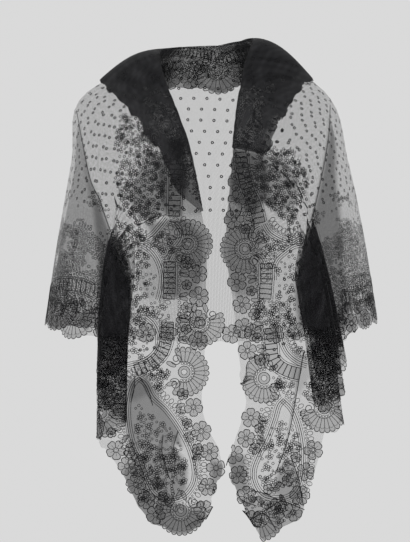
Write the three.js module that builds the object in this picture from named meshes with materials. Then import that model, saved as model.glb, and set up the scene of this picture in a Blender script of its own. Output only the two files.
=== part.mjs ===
// Lace mantilla: one cloth worn round the neck and over both shoulders, open in front.
// Millimetres. +X is the wearer's left, +Y the wearer's back, +Z up.
// The origin lies on the axis of the neck, at the height where the cloth bears on the shoulders.

import * as THREE from "three";

// Overall sizes
const overall_width = 538; // between the outermost points of the two capes
const overall_drop = 809; // top of the collar to the tip of the longer lappet
const overall_depth = 300; // front lappets to the hem at the back

// The cloth
const cloth_wall = 1.6;
const scallop_depth = 9; // how far a scallop stands out of the edge
const scallop_valley = 2; // how far the edge cuts in between two scallops
const scallop_pitch = 36; // length of one scallop along the edge
const fan_every = 6; // one large shell fan in this many scallops
const fan_extra = 6; // how much farther than a scallop the fan stands out

// The turned-out collar and lapels
const fold_radius = 3.2; // of the bend where the lapel turns back
const collar_rise = 13; // how far the collar puffs off the cape at the neck
const lapel_rise = 3; // how far the lapels puff off the chest
const flap_end_length = 4; // stretch of the flap whose direction its scallops follow
const puff_lean = 0.75; // under 1 moves the crown of the puff towards the fold
const collar_ends_at = 6.5; // ribs from the nape where the collar's puff ends
const collar_full_at = 3; // ribs from the nape within which it is full

// The gathered fall at each side
const fall_width = 42; // from one bend of the fall to the next
const fall_layers = 6; // layers of cloth folded over each other
const bend_share = 0.34; // share of each layer taken by its bend
const fall_opens_at = -0.27; // height where the folds start, share of the drop
const fall_full_at = -0.42; // height where the folds have their whole width
const fall_starts_down_rib = 0.15; // share of a rib above which the cloth isn't folded
const fall_full_down_rib = 0.45; // share of a rib below which it is folded fully
const bulge_share = 0.2; // how far each bend stands out, share of the fall's width

// Soft flutes of the hem of the back and capes
const flute_depth = 7;
const flute_count = 15;
const flutes_grow_over = 1.5; // ribs from the fall over which they reach their depth

// Fineness of the mesh
const columns_between_rows = 2;
const columns_in_layer = 2;
const columns_in_bend = 3;
const edge_points_between_columns = 3;
const fall_column_gap = 0.1; // columns closer than this, in ribs, are those of a side fall
const rib_shares = [0, 0.1, 0.22, 0.36, 0.52, 0.68, 0.83, 0.93];
const bend_turns = [60, 120, 180]; // degrees round the lapel's fold
const lapel_shares = [0.35, 0.7, 0.93];

// The drape. Each row is one rib of the cloth, from its neck or front edge to its outer hem,
// and each place on it is [across, back, up]: shares of half the width, of the depth and of the drop.
const drape = [
  { at: "right_panel_9", edge: [0.101, -0.453, -0.783], breast: [0.071, -0.45, -0.807],
    arm: [0.042, -0.447, -0.835], fall: [0.024, -0.447, -0.854], hem: [0.012, -0.45, -0.876] },
  { at: "right_panel_8", edge: [0.065, -0.45, -0.742], breast: [0.006, -0.443, -0.775],
    arm: [-0.024, -0.44, -0.831], fall: [-0.036, -0.443, -0.866], hem: [-0.036, -0.45, -0.9] },
  { at: "right_panel_7", edge: [0.012, -0.447, -0.708], breast: [-0.059, -0.44, -0.742],
    arm: [-0.089, -0.437, -0.807], fall: [-0.095, -0.443, -0.856], hem: [-0.095, -0.453, -0.906] },
  { at: "right_panel_6", edge: [-0.024, -0.443, -0.663], breast: [-0.113, -0.437, -0.692],
    arm: [-0.143, -0.437, -0.761], fall: [-0.161, -0.447, -0.833], hem: [-0.167, -0.457, -0.906] },
  { at: "right_panel_5", edge: [-0.018, -0.437, -0.603], breast: [-0.155, -0.433, -0.629],
    arm: [-0.196, -0.44, -0.712], fall: [-0.22, -0.453, -0.803], hem: [-0.238, -0.46, -0.902] },
  { at: "right_panel_4", edge: [-0.006, -0.433, -0.544], breast: [-0.19, -0.437, -0.566],
    arm: [-0.262, -0.447, -0.657], fall: [-0.291, -0.46, -0.763], hem: [-0.309, -0.46, -0.894] },
  { at: "right_panel_3", edge: [0.0, -0.433, -0.485], breast: [-0.238, -0.443, -0.504],
    arm: [-0.333, -0.453, -0.589], fall: [-0.381, -0.46, -0.71], hem: [-0.399, -0.46, -0.86] },
  { at: "right_panel_2", edge: [0.0, -0.433, -0.425], breast: [-0.286, -0.447, -0.441],
    arm: [-0.404, -0.453, -0.522], fall: [-0.458, -0.453, -0.649], hem: [-0.488, -0.453, -0.801] },
  { at: "right_panel_1", edge: [0.006, -0.437, -0.368], breast: [-0.333, -0.443, -0.38],
    arm: [-0.488, -0.447, -0.459], fall: [-0.553, -0.447, -0.591], hem: [-0.583, -0.447, -0.752] },
  { at: "right_panel_0", edge: [-0.006, -0.437, -0.32], breast: [-0.333, -0.44, -0.328],
    arm: [-0.547, -0.447, -0.392], fall: [-0.619, -0.447, -0.542], hem: [-0.636, -0.447, -0.722] },
  { at: "right_cape_front", edge: [-0.095, -0.383, -0.168], breast: [-0.428, -0.42, -0.214],
    arm: [-0.577, -0.373, -0.312], fall: [-0.625, -0.333, -0.425], hem: [-0.642, -0.32, -0.528] },
  { at: "right_cape_breast", edge: [-0.161, -0.307, -0.099], breast: [-0.5, -0.373, -0.158],
    arm: [-0.619, -0.347, -0.273], fall: [-0.678, -0.313, -0.396], hem: [-0.726, -0.307, -0.51] },
  { at: "right_cape_fore_arm", edge: [-0.22, -0.207, -0.049], breast: [-0.589, -0.293, -0.115],
    arm: [-0.69, -0.287, -0.247], fall: [-0.761, -0.28, -0.38], hem: [-0.815, -0.28, -0.506] },
  { at: "right_cape_arm", edge: [-0.262, -0.127, -0.01], breast: [-0.69, -0.167, -0.075],
    arm: [-0.773, -0.18, -0.218], fall: [-0.851, -0.18, -0.364], hem: [-0.91, -0.18, -0.502] },
  { at: "right_shoulder", edge: [-0.28, -0.027, 0.026], breast: [-0.749, 0.007, -0.051],
    arm: [-0.815, 0.027, -0.178], fall: [-0.904, 0.04, -0.34], hem: [-0.981, 0.053, -0.502] },
  { at: "right_shoulder_back", edge: [-0.268, 0.05, 0.038], breast: [-0.642, 0.16, -0.044],
    arm: [-0.773, 0.24, -0.198], fall: [-0.851, 0.273, -0.352], hem: [-0.91, 0.293, -0.512] },
  { at: "right_blade", edge: [-0.214, 0.127, 0.044], breast: [-0.5, 0.307, -0.067],
    arm: [-0.63, 0.393, -0.227], fall: [-0.696, 0.427, -0.38], hem: [-0.755, 0.453, -0.526] },
  { at: "right_back_side", edge: [-0.119, 0.193, 0.049], breast: [-0.274, 0.373, -0.083],
    arm: [-0.345, 0.46, -0.241], fall: [-0.404, 0.493, -0.392], hem: [-0.446, 0.52, -0.536] },
  { at: "nape", edge: [0.0, 0.22, 0.051], breast: [0.0, 0.373, -0.095],
    arm: [0.0, 0.457, -0.249], fall: [0.0, 0.493, -0.396], hem: [0.0, 0.52, -0.54] },
  { at: "left_back_side", edge: [0.095, 0.2, 0.053], breast: [0.262, 0.373, -0.075],
    arm: [0.345, 0.457, -0.237], fall: [0.41, 0.493, -0.388], hem: [0.464, 0.52, -0.538] },
  { at: "left_blade", edge: [0.202, 0.14, 0.059], breast: [0.5, 0.307, -0.063],
    arm: [0.63, 0.393, -0.225], fall: [0.714, 0.427, -0.376], hem: [0.779, 0.453, -0.528] },
  { at: "left_shoulder_back", edge: [0.274, 0.06, 0.063], breast: [0.654, 0.16, -0.044],
    arm: [0.797, 0.24, -0.202], fall: [0.868, 0.273, -0.35], hem: [0.934, 0.293, -0.512] },
  { at: "left_shoulder", edge: [0.274, -0.027, 0.051], breast: [0.732, 0.007, -0.047],
    arm: [0.851, 0.027, -0.178], fall: [0.94, 0.04, -0.328], hem: [1.011, 0.053, -0.494] },
  { at: "left_cape_arm", edge: [0.238, -0.113, 0.012], breast: [0.666, -0.167, -0.071],
    arm: [0.797, -0.18, -0.218], fall: [0.874, -0.18, -0.36], hem: [0.946, -0.18, -0.504] },
  { at: "left_cape_fore_arm", edge: [0.214, -0.193, -0.032], breast: [0.577, -0.293, -0.111],
    arm: [0.708, -0.287, -0.247], fall: [0.797, -0.28, -0.376], hem: [0.88, -0.28, -0.514] },
  { at: "left_cape_front", edge: [0.19, -0.28, -0.075], breast: [0.5, -0.373, -0.158],
    arm: [0.642, -0.367, -0.281], fall: [0.749, -0.327, -0.407], hem: [0.833, -0.313, -0.536] },
  { at: "left_panel_0", edge: [0.131, -0.427, -0.267], breast: [0.44, -0.433, -0.281],
    arm: [0.63, -0.44, -0.36], fall: [0.726, -0.44, -0.51], hem: [0.797, -0.44, -0.688] },
  { at: "left_panel_1", edge: [0.119, -0.43, -0.326], breast: [0.41, -0.44, -0.342],
    arm: [0.571, -0.447, -0.435], fall: [0.654, -0.447, -0.554], hem: [0.708, -0.447, -0.712] },
  { at: "left_panel_2", edge: [0.125, -0.433, -0.38], breast: [0.369, -0.443, -0.4],
    arm: [0.512, -0.453, -0.494], fall: [0.601, -0.453, -0.613], hem: [0.672, -0.453, -0.761] },
  { at: "left_panel_3", edge: [0.149, -0.433, -0.435], breast: [0.345, -0.44, -0.459],
    arm: [0.464, -0.453, -0.554], fall: [0.541, -0.46, -0.672], hem: [0.63, -0.46, -0.805] },
  { at: "left_panel_4", edge: [0.172, -0.433, -0.49], breast: [0.333, -0.437, -0.518],
    arm: [0.422, -0.447, -0.613], fall: [0.488, -0.46, -0.716], hem: [0.589, -0.46, -0.85] },
  { at: "left_panel_5", edge: [0.19, -0.437, -0.546], breast: [0.321, -0.433, -0.578],
    arm: [0.381, -0.44, -0.663], fall: [0.44, -0.453, -0.761], hem: [0.559, -0.46, -0.882] },
  { at: "left_panel_6", edge: [0.208, -0.44, -0.597], breast: [0.303, -0.437, -0.633],
    arm: [0.345, -0.437, -0.712], fall: [0.381, -0.447, -0.799], hem: [0.452, -0.457, -0.902] },
  { at: "left_panel_7", edge: [0.238, -0.447, -0.653], breast: [0.291, -0.44, -0.688],
    arm: [0.309, -0.437, -0.752], fall: [0.333, -0.443, -0.827], hem: [0.375, -0.453, -0.914] },
  { at: "left_panel_8", edge: [0.202, -0.45, -0.702], breast: [0.22, -0.443, -0.736],
    arm: [0.238, -0.44, -0.783], fall: [0.262, -0.443, -0.843], hem: [0.327, -0.45, -0.918] },
  { at: "left_panel_9", edge: [0.149, -0.453, -0.752], breast: [0.143, -0.45, -0.777],
    arm: [0.161, -0.447, -0.811], fall: [0.208, -0.447, -0.85], hem: [0.274, -0.45, -0.894] },
];

// Width of the turned-out flap at places along the drape, shares of half the width.
// Past is how far beyond the named rib, towards the lappet's tip, as a share of the way to the next rib.
const lapels = [
  { at: "right_cape_front", past: 0.72, width: 0 },
  { at: "right_cape_front", past: 0.45, width: 0.12 },
  { at: "right_cape_front", past: 0, width: 0.16 },
  { at: "right_cape_breast", past: 0, width: 0.2 },
  { at: "right_cape_fore_arm", past: 0, width: 0.26 },
  { at: "right_cape_arm", past: 0, width: 0.32 },
  { at: "right_shoulder", past: 0, width: 0.38 },
  { at: "right_shoulder_back", past: 0, width: 0.36 },
  { at: "right_blade", past: 0, width: 0.31 },
  { at: "nape", past: 0, width: 0.26 },
  { at: "left_blade", past: 0, width: 0.33 },
  { at: "left_shoulder_back", past: 0, width: 0.37 },
  { at: "left_shoulder", past: 0, width: 0.39 },
  { at: "left_cape_arm", past: 0, width: 0.355 },
  { at: "left_cape_fore_arm", past: 0, width: 0.315 },
  { at: "left_cape_front", past: 0, width: 0.28 },
  { at: "left_cape_front", past: 0.36, width: 0.22 },
  { at: "left_cape_front", past: 0.44, width: 0 },
];

const rib_places = ["edge", "breast", "arm", "fall", "hem"];
const row_number = (name) => drape.findIndex((row) => row.at === name);
const right_fall = { from: row_number("right_cape_front"), step: -1, across: 1 };
const left_fall = { from: row_number("left_cape_front"), step: 1, across: -1 };
const nape_row = row_number("nape");
const last_row = drape.length - 1;

const clamp = (value, low, high) => Math.min(high, Math.max(low, value));
const mix = (a, b, share) => a + (b - a) * share;
const ease = (low, high, value) => {
  const share = clamp((value - low) / (high - low), 0, 1);
  return share * share * (3 - 2 * share);
};

const rib_points = drape.map((row) =>
  rib_places.map((place) => {
    const [across, back, up] = row[place];
    return new THREE.Vector3(
      (across * overall_width) / 2,
      back * overall_depth,
      up * overall_drop
    );
  })
);

// A smooth curve through evenly spaced points; a place beyond the ends carries straight on.
function smooth(points, place) {
  const last = points.length - 1;
  const i = clamp(Math.floor(place), 0, last - 1);
  const t = place - i;
  const p1 = points[i];
  const p2 = points[i + 1];
  const p0 = i > 0 ? points[i - 1] : p1.clone().multiplyScalar(2).sub(p2);
  const p3 = i + 2 <= last ? points[i + 2] : p2.clone().multiplyScalar(2).sub(p1);
  if (t < 0 || t > 1) {
    const end = t < 0 ? p1 : p2;
    const slope = t < 0 ? p2.clone().sub(p0) : p3.clone().sub(p1);
    return end.clone().addScaledVector(slope, (t < 0 ? t : t - 1) / 2);
  }
  const out = new THREE.Vector3();
  for (const axis of ["x", "y", "z"]) {
    const a = 2 * p1[axis];
    const b = p2[axis] - p0[axis];
    const c = 2 * p0[axis] - 5 * p1[axis] + 4 * p2[axis] - p3[axis];
    const d = 3 * p1[axis] - p0[axis] - 3 * p2[axis] + p3[axis];
    out[axis] = 0.5 * (a + b * t + c * t * t + d * t * t * t);
  }
  return out;
}

function base(row, share) {
  const places = rib_places.map((name, k) => smooth(rib_points.map((rib) => rib[k]), row));
  return smooth(places, share * (rib_places.length - 1));
}

// Where the folded path of a side fall has got to: how far across, how many layers forward,
// and how far its bend stands out.
function folded(share) {
  const way = clamp(share, 0, 0.999999) * fall_layers;
  const layer = Math.floor(way);
  const within = way - layer;
  const forth = layer % 2 === 0;
  const flat = 1 - bend_share;
  if (within <= flat) {
    const across = forth ? within / flat : 1 - within / flat;
    return { across, forward: layer / fall_layers, out: 0 };
  }
  const turn = ((within - flat) / bend_share) * Math.PI;
  return {
    across: forth ? 1 : 0,
    forward: (layer + 0.5 - 0.5 * Math.cos(turn)) / fall_layers,
    out: (forth ? 1 : -1) * Math.sin(turn),
  };
}

// The cloth's middle surface: row counts along the cloth, share runs from its inner edge to its hem.
function cloth(row, share) {
  const place = base(row, share);
  for (const side of [right_fall, left_fall]) {
    const along = (row - side.from) * side.step;
    if (along <= 0 || along >= 1) continue;
    const fold = folded(along);
    const first = base(side.from, share);
    const last = base(side.from + side.step, share);
    const settled = ease(fall_starts_down_rib, fall_full_down_rib, share);
    const width = settled * fall_width * ease(fall_opens_at, fall_full_at, place.z / overall_drop);
    const layer_step = (first.y - last.y) / fall_layers;
    const bulge = Math.min(width * bulge_share, Math.abs(layer_step) / 2);
    place.x += side.across * (width * fold.across + bulge * fold.out);
    place.y = mix(place.y, mix(first.y, last.y, fold.forward), settled);
  }
  const reach = Math.min(row - right_fall.from, left_fall.from - row);
  if (reach > 0) {
    const swell = flute_depth * share * share * ease(0, flutes_grow_over, reach);
    const turn = ((row - nape_row) / (left_fall.from - nape_row)) * flute_count;
    const out = new THREE.Vector2(place.x, place.y).normalize();
    place.x += out.x * swell * Math.sin(turn);
    place.y += out.y * swell * Math.sin(turn);
  }
  return place;
}

// Directions on the cloth: down the rib, and out of its outer side.
function frame_at(row, share) {
  const small = 0.004;
  const along = cloth(Math.min(row + small, last_row), share);
  along.sub(cloth(Math.max(row - small, 0), share));
  const down = cloth(row, share + small).sub(cloth(row, Math.max(share - small, 0))).normalize();
  const out = along.cross(down).normalize();
  return { down, out };
}

// The share of a rib that lies a given length below its inner edge.
function share_at(row, length) {
  const steps = 40;
  let before = cloth(row, 0);
  let walked = 0;
  for (let i = 1; i <= steps; i += 1) {
    const here = cloth(row, i / steps);
    const piece = here.distanceTo(before);
    if (walked + piece >= length) return (i - 1 + (length - walked) / piece) / steps;
    walked += piece;
    before = here;
  }
  return 1;
}

const lapel_places = lapels.map((entry) => {
  const direction = entry.at.startsWith("right") ? -1 : 1;
  return { row: row_number(entry.at) + direction * entry.past, width: entry.width };
});

function lapel_width(row) {
  for (let i = 1; i < lapel_places.length; i += 1) {
    const a = lapel_places[i - 1];
    const b = lapel_places[i];
    if (row > a.row && row < b.row) {
      const share = (row - a.row) / (b.row - a.row);
      return (mix(a.width, b.width, share) * overall_width) / 2;
    }
    if (row === b.row) return (b.width * overall_width) / 2;
  }
  return 0;
}

// A point of the turned-out flap, a given length out from the fold.
function flap(row, length, width) {
  const share = share_at(row, length);
  const { out } = frame_at(row, share);
  const near_neck = ease(collar_ends_at, collar_full_at, Math.abs(row - nape_row));
  const rise = mix(lapel_rise, collar_rise, near_neck);
  const over_flap = clamp(length / width, 0, 1) ** puff_lean;
  const lift = 2 * fold_radius + rise * Math.sin(Math.PI * over_flap);
  return { middle: cloth(row, share).addScaledVector(out, lift), side: out.clone().negate() };
}

// A point on the bend between the cape and the flap.
function bend(row, degrees) {
  const { down, out } = frame_at(row, 0);
  const turn = THREE.MathUtils.degToRad(degrees);
  const centre = cloth(row, 0).addScaledVector(out, fold_radius);
  const arm = out.clone().multiplyScalar(-Math.cos(turn)).addScaledVector(down, -Math.sin(turn));
  const middle = centre.addScaledVector(arm, fold_radius);
  return { middle, side: arm.negate() };
}

// How far the edge stands out at a length along it: small scallops with a large fan among them.
function scallop(length) {
  const place = length / scallop_pitch;
  const number = Math.floor(place);
  const arch = Math.sqrt(Math.sin(Math.PI * (place - number)));
  const whole_fan = ((number % fan_every) + fan_every) % fan_every === 0;
  return arch * (scallop_depth + (whole_fan ? fan_extra : 0)) - scallop_valley;
}

// The columns of the mesh, closer in the side falls.
const columns = [];
for (let row = 0; row < last_row; row += 1) {
  const in_fall = row === right_fall.from - 1 || row === left_fall.from;
  if (!in_fall) {
    for (let k = 0; k < columns_between_rows; k += 1) columns.push(row + k / columns_between_rows);
    continue;
  }
  const places = [];
  for (let layer = 0; layer < fall_layers; layer += 1) {
    for (let k = 0; k < columns_in_layer; k += 1) {
      places.push((layer + ((1 - bend_share) * k) / columns_in_layer) / fall_layers);
    }
    for (let k = 0; k < columns_in_bend; k += 1) {
      places.push((layer + 1 - bend_share + (bend_share * k) / columns_in_bend) / fall_layers);
    }
  }
  if (row === left_fall.from) {
    for (const share of places) columns.push(row + share);
  } else {
    columns.push(row);
    for (const share of places.slice(1).reverse()) columns.push(row + 1 - share);
  }
}
columns.push(last_row);

// Each grid point keeps its place on both faces of the cloth.
const face_points = [[], []];
function add_point({ middle, side }) {
  face_points[0].push(middle.clone().addScaledVector(side, cloth_wall / 2));
  face_points[1].push(middle.clone().addScaledVector(side, -cloth_wall / 2));
  return face_points[0].length - 1;
}

const flap_rows = bend_turns.length + lapel_shares.length;
const lines = columns.map((row) => {
  const width = lapel_width(row);
  const down_rib = rib_shares.map((share) =>
    add_point({ middle: cloth(row, share), side: frame_at(row, share).out })
  );
  const turned = [];
  for (let k = 0; k < flap_rows; k += 1) {
    if (width === 0) turned.push(down_rib[0]);
    else if (k < bend_turns.length) turned.push(add_point(bend(row, bend_turns[k])));
    else turned.push(add_point(flap(row, width * lapel_shares[k - bend_turns.length], width)));
  }
  return [...turned.reverse(), ...down_rib];
});

// Points of the two scalloped edges, closer together than the columns.
function hem_point(row, reach) {
  const { down, out } = frame_at(row, 1);
  return { middle: cloth(row, 1).addScaledVector(down, reach), side: out };
}
function inner_point(row, reach) {
  const width = lapel_width(row);
  if (width > 0) {
    const tip = flap(row, width, width);
    const before = flap(row, width - flap_end_length, width);
    const on = tip.middle.clone().sub(before.middle).normalize();
    return { middle: tip.middle.addScaledVector(on, reach), side: tip.side };
  }
  const { down, out } = frame_at(row, 0);
  return { middle: cloth(row, 0).addScaledVector(down, -reach), side: out };
}

function edge_rows(maker) {
  const rows = [];
  let length = 0;
  let before = null;
  for (let i = 0; i < columns.length; i += 1) {
    const last = i === columns.length - 1;
    const in_fall = !last && columns[i + 1] - columns[i] < fall_column_gap;
    const flap_here = lapel_width(columns[i]) > 0;
    const flap_ends = !last && flap_here !== lapel_width(columns[i + 1]) > 0;
    const plain = last || in_fall || (maker === inner_point && flap_ends);
    const count = plain ? 1 : edge_points_between_columns;
    const points = [];
    for (let k = 0; k < count; k += 1) {
      const row = last ? columns[i] : mix(columns[i], columns[i + 1], k / count);
      const uncut = maker(row, 0).middle;
      if (before) length += uncut.distanceTo(before);
      before = uncut;
      points.push(add_point(maker(row, scallop(length))));
    }
    rows.push(points);
  }
  return rows;
}

const triangles = [];
function add_triangle(a, b, c) {
  if (a !== b && b !== c && a !== c) triangles.push([a, c, b]);
}

const hem = edge_rows(hem_point);
const inner = edge_rows(inner_point);
for (let i = 0; i + 1 < columns.length; i += 1) {
  const here = lines[i];
  const next = lines[i + 1];
  for (let k = 0; k + 1 < here.length; k += 1) {
    add_triangle(here[k], next[k + 1], next[k]);
    add_triangle(here[k], here[k + 1], next[k + 1]);
  }
  for (const [edge, k, outer] of [[hem, here.length - 1, true], [inner, 0, false]]) {
    const points = [...edge[i], edge[i + 1][0]];
    const middle = Math.floor(points.length / 2);
    const strip = [[here[k], points[middle], next[k]]];
    for (let n = 0; n + 1 < points.length; n += 1) {
      strip.push([n < middle ? here[k] : next[k], points[n], points[n + 1]]);
    }
    for (const [a, b, c] of strip) {
      if (outer) add_triangle(a, b, c);
      else add_triangle(a, c, b);
    }
  }
}

// Both faces, and a wall wherever a side of a triangle has no neighbour.
const count = face_points[0].length;
const faces = [];
const open_sides = new Map();
for (const [a, b, c] of triangles) {
  faces.push([a, b, c], [a + count, c + count, b + count]);
  for (const [from, to] of [[a, b], [b, c], [c, a]]) {
    if (!open_sides.delete(`${to} ${from}`)) open_sides.set(`${from} ${to}`, [from, to]);
  }
}
for (const [from, to] of open_sides.values()) {
  faces.push([to, from, from + count], [to, from + count, to + count]);
}

const geometry = new THREE.BufferGeometry();
const all_points = [...face_points[0], ...face_points[1]];
const places = all_points.flatMap((point) => point.toArray());
geometry.setAttribute("position", new THREE.Float32BufferAttribute(places, 3));
geometry.setIndex(faces.flat());
geometry.computeVertexNormals();

const black_lace = new THREE.MeshStandardMaterial({
  name: "black_lace",
  color: 0x161618,
  roughness: 0.75,
});
const mantilla = new THREE.Mesh(geometry, black_lace);
mantilla.name = "lace_mantilla";

const part = new THREE.Group();
part.name = "mantilla_veil";
part.add(mantilla);
export default part;
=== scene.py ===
"""Looks of the lace mantilla: net, gimp cords, half-stitch fillings, camera and light."""
import math
import bpy
import numpy as np
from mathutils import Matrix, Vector
from mathutils.kdtree import KDTree


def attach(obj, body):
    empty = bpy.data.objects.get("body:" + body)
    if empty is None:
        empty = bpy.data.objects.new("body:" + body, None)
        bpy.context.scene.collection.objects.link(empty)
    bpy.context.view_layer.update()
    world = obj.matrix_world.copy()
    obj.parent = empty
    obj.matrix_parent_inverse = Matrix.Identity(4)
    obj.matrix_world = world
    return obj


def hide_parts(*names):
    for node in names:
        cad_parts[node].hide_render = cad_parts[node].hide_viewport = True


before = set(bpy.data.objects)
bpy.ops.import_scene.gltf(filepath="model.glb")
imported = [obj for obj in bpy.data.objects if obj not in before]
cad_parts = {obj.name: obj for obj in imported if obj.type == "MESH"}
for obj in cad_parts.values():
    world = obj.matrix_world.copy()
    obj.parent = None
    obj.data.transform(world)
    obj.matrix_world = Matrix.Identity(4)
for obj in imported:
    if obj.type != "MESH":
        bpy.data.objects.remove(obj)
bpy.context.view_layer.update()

# The drape, in millimetres: the same named sizes and rows as the solid's
WIDTH, DROP, DEPTH = 538.0, 809.0, 300.0
FOLD_RADIUS, COLLAR_RISE, LAPEL_RISE = 3.2, 13.0, 3.0
FALL_WIDTH, FALL_LAYERS, BEND = 42.0, 6, 0.34
FALL_OPENS, FALL_FULL = -0.27, -0.42
FLUTE_DEPTH, FLUTES = 7.0, 15

# name, then the rib's five places: edge, breast, arm, fall, hem,
# each across, back and up, in thousandths of the named sizes
DRAPE = [
    ("right_panel_9", 101, -453, -783, 71, -450, -807, 42, -447, -835, 24, -447, -854, 12, -450, -876),
    ("right_panel_8", 65, -450, -742, 6, -443, -775, -24, -440, -831, -36, -443, -866, -36, -450, -900),
    ("right_panel_7", 12, -447, -708, -59, -440, -742, -89, -437, -807, -95, -443, -856, -95, -453, -906),
    ("right_panel_6", -24, -443, -663, -113, -437, -692, -143, -437, -761, -161, -447, -833, -167, -457, -906),
    ("right_panel_5", -18, -437, -603, -155, -433, -629, -196, -440, -712, -220, -453, -803, -238, -460, -902),
    ("right_panel_4", -6, -433, -544, -190, -437, -566, -262, -447, -657, -291, -460, -763, -309, -460, -894),
    ("right_panel_3", 0, -433, -485, -238, -443, -504, -333, -453, -589, -381, -460, -710, -399, -460, -860),
    ("right_panel_2", 0, -433, -425, -286, -447, -441, -404, -453, -522, -458, -453, -649, -488, -453, -801),
    ("right_panel_1", 6, -437, -368, -333, -443, -380, -488, -447, -459, -553, -447, -591, -583, -447, -752),
    ("right_panel_0", -6, -437, -320, -333, -440, -328, -547, -447, -392, -619, -447, -542, -636, -447, -722),
    ("right_cape_front", -95, -383, -168, -428, -420, -214, -577, -373, -312, -625, -333, -425, -642, -320, -528),
    ("right_cape_breast", -161, -307, -99, -500, -373, -158, -619, -347, -273, -678, -313, -396, -726, -307, -510),
    ("right_cape_fore_arm", -220, -207, -49, -589, -293, -115, -690, -287, -247, -761, -280, -380, -815, -280, -506),
    ("right_cape_arm", -262, -127, -10, -690, -167, -75, -773, -180, -218, -851, -180, -364, -910, -180, -502),
    ("right_shoulder", -280, -27, 26, -749, 7, -51, -815, 27, -178, -904, 40, -340, -981, 53, -502),
    ("right_shoulder_back", -268, 50, 38, -642, 160, -44, -773, 240, -198, -851, 273, -352, -910, 293, -512),
    ("right_blade", -214, 127, 44, -500, 307, -67, -630, 393, -227, -696, 427, -380, -755, 453, -526),
    ("right_back_side", -119, 193, 49, -274, 373, -83, -345, 460, -241, -404, 493, -392, -446, 520, -536),
    ("nape", 0, 220, 51, 0, 373, -95, 0, 457, -249, 0, 493, -396, 0, 520, -540),
    ("left_back_side", 95, 200, 53, 262, 373, -75, 345, 457, -237, 410, 493, -388, 464, 520, -538),
    ("left_blade", 202, 140, 59, 500, 307, -63, 630, 393, -225, 714, 427, -376, 779, 453, -528),
    ("left_shoulder_back", 274, 60, 63, 654, 160, -44, 797, 240, -202, 868, 273, -350, 934, 293, -512),
    ("left_shoulder", 274, -27, 51, 732, 7, -47, 851, 27, -178, 940, 40, -328, 1011, 53, -494),
    ("left_cape_arm", 238, -113, 12, 666, -167, -71, 797, -180, -218, 874, -180, -360, 946, -180, -504),
    ("left_cape_fore_arm", 214, -193, -32, 577, -293, -111, 708, -287, -247, 797, -280, -376, 880, -280, -514),
    ("left_cape_front", 190, -280, -75, 500, -373, -158, 642, -367, -281, 749, -327, -407, 833, -313, -536),
    ("left_panel_0", 131, -427, -267, 440, -433, -281, 630, -440, -360, 726, -440, -510, 797, -440, -688),
    ("left_panel_1", 119, -430, -326, 410, -440, -342, 571, -447, -435, 654, -447, -554, 708, -447, -712),
    ("left_panel_2", 125, -433, -380, 369, -443, -400, 512, -453, -494, 601, -453, -613, 672, -453, -761),
    ("left_panel_3", 149, -433, -435, 345, -440, -459, 464, -453, -554, 541, -460, -672, 630, -460, -805),
    ("left_panel_4", 172, -433, -490, 333, -437, -518, 422, -447, -613, 488, -460, -716, 589, -460, -850),
    ("left_panel_5", 190, -437, -546, 321, -433, -578, 381, -440, -663, 440, -453, -761, 559, -460, -882),
    ("left_panel_6", 208, -440, -597, 303, -437, -633, 345, -437, -712, 381, -447, -799, 452, -457, -902),
    ("left_panel_7", 238, -447, -653, 291, -440, -688, 309, -437, -752, 333, -443, -827, 375, -453, -914),
    ("left_panel_8", 202, -450, -702, 220, -443, -736, 238, -440, -783, 262, -443, -843, 327, -450, -918),
    ("left_panel_9", 149, -453, -752, 143, -450, -777, 161, -447, -811, 208, -447, -850, 274, -450, -894),
]
# rib, how far past it towards the tip, width of the turned-out flap as a share of half the width
LAPELS = [
    ("right_cape_front", 0.72, 0.0), ("right_cape_front", 0.45, 0.12), ("right_cape_front", 0.0, 0.16),
    ("right_cape_breast", 0.0, 0.2), ("right_cape_fore_arm", 0.0, 0.26), ("right_cape_arm", 0.0, 0.32),
    ("right_shoulder", 0.0, 0.38), ("right_shoulder_back", 0.0, 0.36), ("right_blade", 0.0, 0.31),
    ("nape", 0.0, 0.26), ("left_blade", 0.0, 0.33), ("left_shoulder_back", 0.0, 0.37),
    ("left_shoulder", 0.0, 0.39), ("left_cape_arm", 0.0, 0.355), ("left_cape_fore_arm", 0.0, 0.315),
    ("left_cape_front", 0.0, 0.28), ("left_cape_front", 0.36, 0.22), ("left_cape_front", 0.44, 0.0),
]
NAMES = [row[0] for row in DRAPE]
POINTS = np.array([row[1:] for row in DRAPE]).reshape(len(DRAPE), 5, 3) / 1000
POINTS = POINTS * np.array([WIDTH / 2, DEPTH, DROP])
RIGHT_FRONT, LEFT_FRONT, NAPE = (NAMES.index(n) for n in ("right_cape_front", "left_cape_front", "nape"))
LAST = len(DRAPE) - 1


def unit(v):
    return v / np.maximum(np.linalg.norm(v, axis=-1, keepdims=True), 1e-9)


def ease(low, high, x):
    t = np.clip((x - low) / (high - low), 0, 1)
    return t * t * (3 - 2 * t)


def walk(points):
    """Length walked along the points, from 0 at the first."""
    return np.concatenate([[0], np.linalg.norm(np.diff(points, axis=0), axis=1).cumsum()])


def along_line(at, lengths, points):
    """Points at the lengths given, on the line through the points."""
    return np.stack([np.interp(at, lengths, points[:, c]) for c in range(points.shape[1])], -1)


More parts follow.
